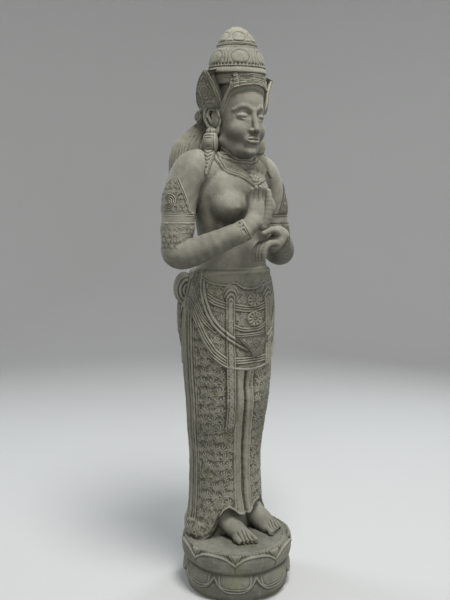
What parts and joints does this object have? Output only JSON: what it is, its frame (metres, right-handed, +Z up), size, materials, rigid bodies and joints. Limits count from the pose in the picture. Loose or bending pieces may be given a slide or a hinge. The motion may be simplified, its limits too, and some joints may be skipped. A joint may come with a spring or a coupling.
{
  "type": "dewi sri statue",
  "caption": "Carved stone goddess in a crown and pleated skirt, hands held before her chest, standing on a round double lotus base.",
  "frame": {"origin": "centre of the lotus base's round underside", "axes": "+Z up the figure, -Y the way she faces, +X towards her left hand"},
  "size_m": [0.5678, 0.4231, 2],
  "materials": {
    "carved_stone": "greenish-grey weathered stone, matt and finely pitted, dark in the recesses, paler on worn ridges, faint moss"
  },
  "bodies": {
    "root": {"goddess_statue": "carved_stone"}
  },
  "joints": []
}
